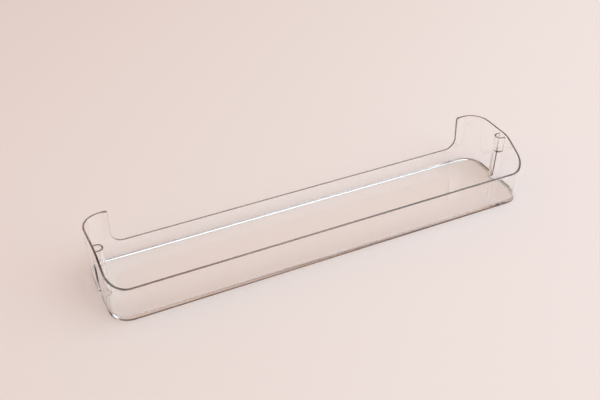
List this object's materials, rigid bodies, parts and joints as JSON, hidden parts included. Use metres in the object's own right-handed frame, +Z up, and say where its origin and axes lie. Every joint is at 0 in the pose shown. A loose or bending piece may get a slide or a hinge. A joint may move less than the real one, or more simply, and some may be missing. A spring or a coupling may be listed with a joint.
{
  "type": "fridge door shelf",
  "caption": "Long clear moulded tray for a fridge door, with a low rear rim between raised corner wings and a hanging channel inside each end wall.",
  "frame": {"origin": "middle of the underside, on the surface that the shelf stands on", "axes": "+X along the shelf, +Y from the front wall to the door side, +Z up out of the tray"},
  "size_m": [0.4636, 0.0982, 0.0594],
  "materials": {
    "clear_plastic": "polished clear polystyrene, colourless, glossy on both sides"
  },
  "bodies": {
    "root": {"door_shelf": "clear_plastic"}
  },
  "joints": []
}
